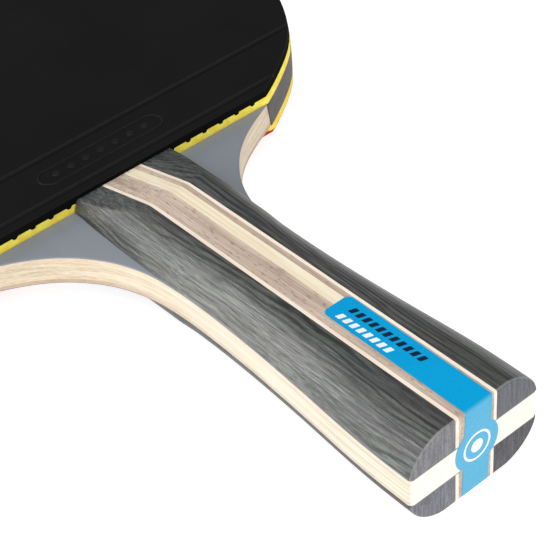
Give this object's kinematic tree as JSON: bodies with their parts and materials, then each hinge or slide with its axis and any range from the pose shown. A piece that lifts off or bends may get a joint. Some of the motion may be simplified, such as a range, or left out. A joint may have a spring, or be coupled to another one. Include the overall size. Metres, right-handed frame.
{
  "type": "table tennis paddle",
  "caption": "Shakehand table tennis paddle: plywood blade with a black and a red inverted rubber on yellow sponge, and a flared handle of striped glued wood.",
  "frame": {"origin": "middle of the bounding box in X and Y, on the plane of the handle's flat underside", "axes": "+Y from the butt of the handle to the tip of the head; +Z out of the black playing face; +X to the right with the black side up"},
  "size_m": [0.1504, 0.2574, 0.021],
  "materials": {
    "core_wood": "sanded bare light wood",
    "inner_ply_wood": "sanded bare wood edge",
    "face_ply_grey": "grey-blue dyed veneer, satin",
    "edge_tape": "dark grey woven edge tape",
    "sponge": "yellow open sponge",
    "rubber_black": "smooth black inverted rubber",
    "rubber_red": "smooth red inverted rubber",
    "dyed_wood_dark": "dark grey dyed and grained wood, satin",
    "strip_veneer": "pale veneer line",
    "strip_mauve": "mauve-brown wood",
    "strip_cream": "cream wood",
    "strip_tan": "thin tan veneer line",
    "strip_brown": "brown wood",
    "label_blue": "blue printed film"
  },
  "bodies": {
    "root": {"blade_core_ply": "core_wood", "blade_inner_ply_upper": "inner_ply_wood", "blade_inner_ply_lower": "inner_ply_wood", "blade_face_ply_upper": "face_ply_grey", "blade_face_ply_lower": "face_ply_grey", "edge_tape": "edge_tape", "sponge_upper": "sponge", "sponge_lower": "sponge", "topsheet_black": "rubber_black", "topsheet_red": "rubber_red", "scale_upper_dark_left": "dyed_wood_dark", "scale_upper_veneer_left": "strip_veneer", "scale_upper_mauve": "strip_mauve", "scale_upper_cream_left": "strip_cream", "scale_upper_tan_line": "strip_tan", "scale_upper_cream_right": "strip_cream", "scale_upper_brown": "strip_brown", "scale_upper_veneer_right": "strip_veneer", "scale_upper_dark_right": "dyed_wood_dark", "scale_lower_dark_left": "dyed_wood_dark", "scale_lower_veneer_left": "strip_veneer", "scale_lower_mauve": "strip_mauve", "scale_lower_cream_left": "strip_cream", "scale_lower_tan_line": "strip_tan", "scale_lower_cream_right": "strip_cream", "scale_lower_brown": "strip_brown", "scale_lower_veneer_right": "strip_veneer", "scale_lower_dark_right": "dyed_wood_dark", "handle_label": "label_blue"}
  },
  "joints": []
}
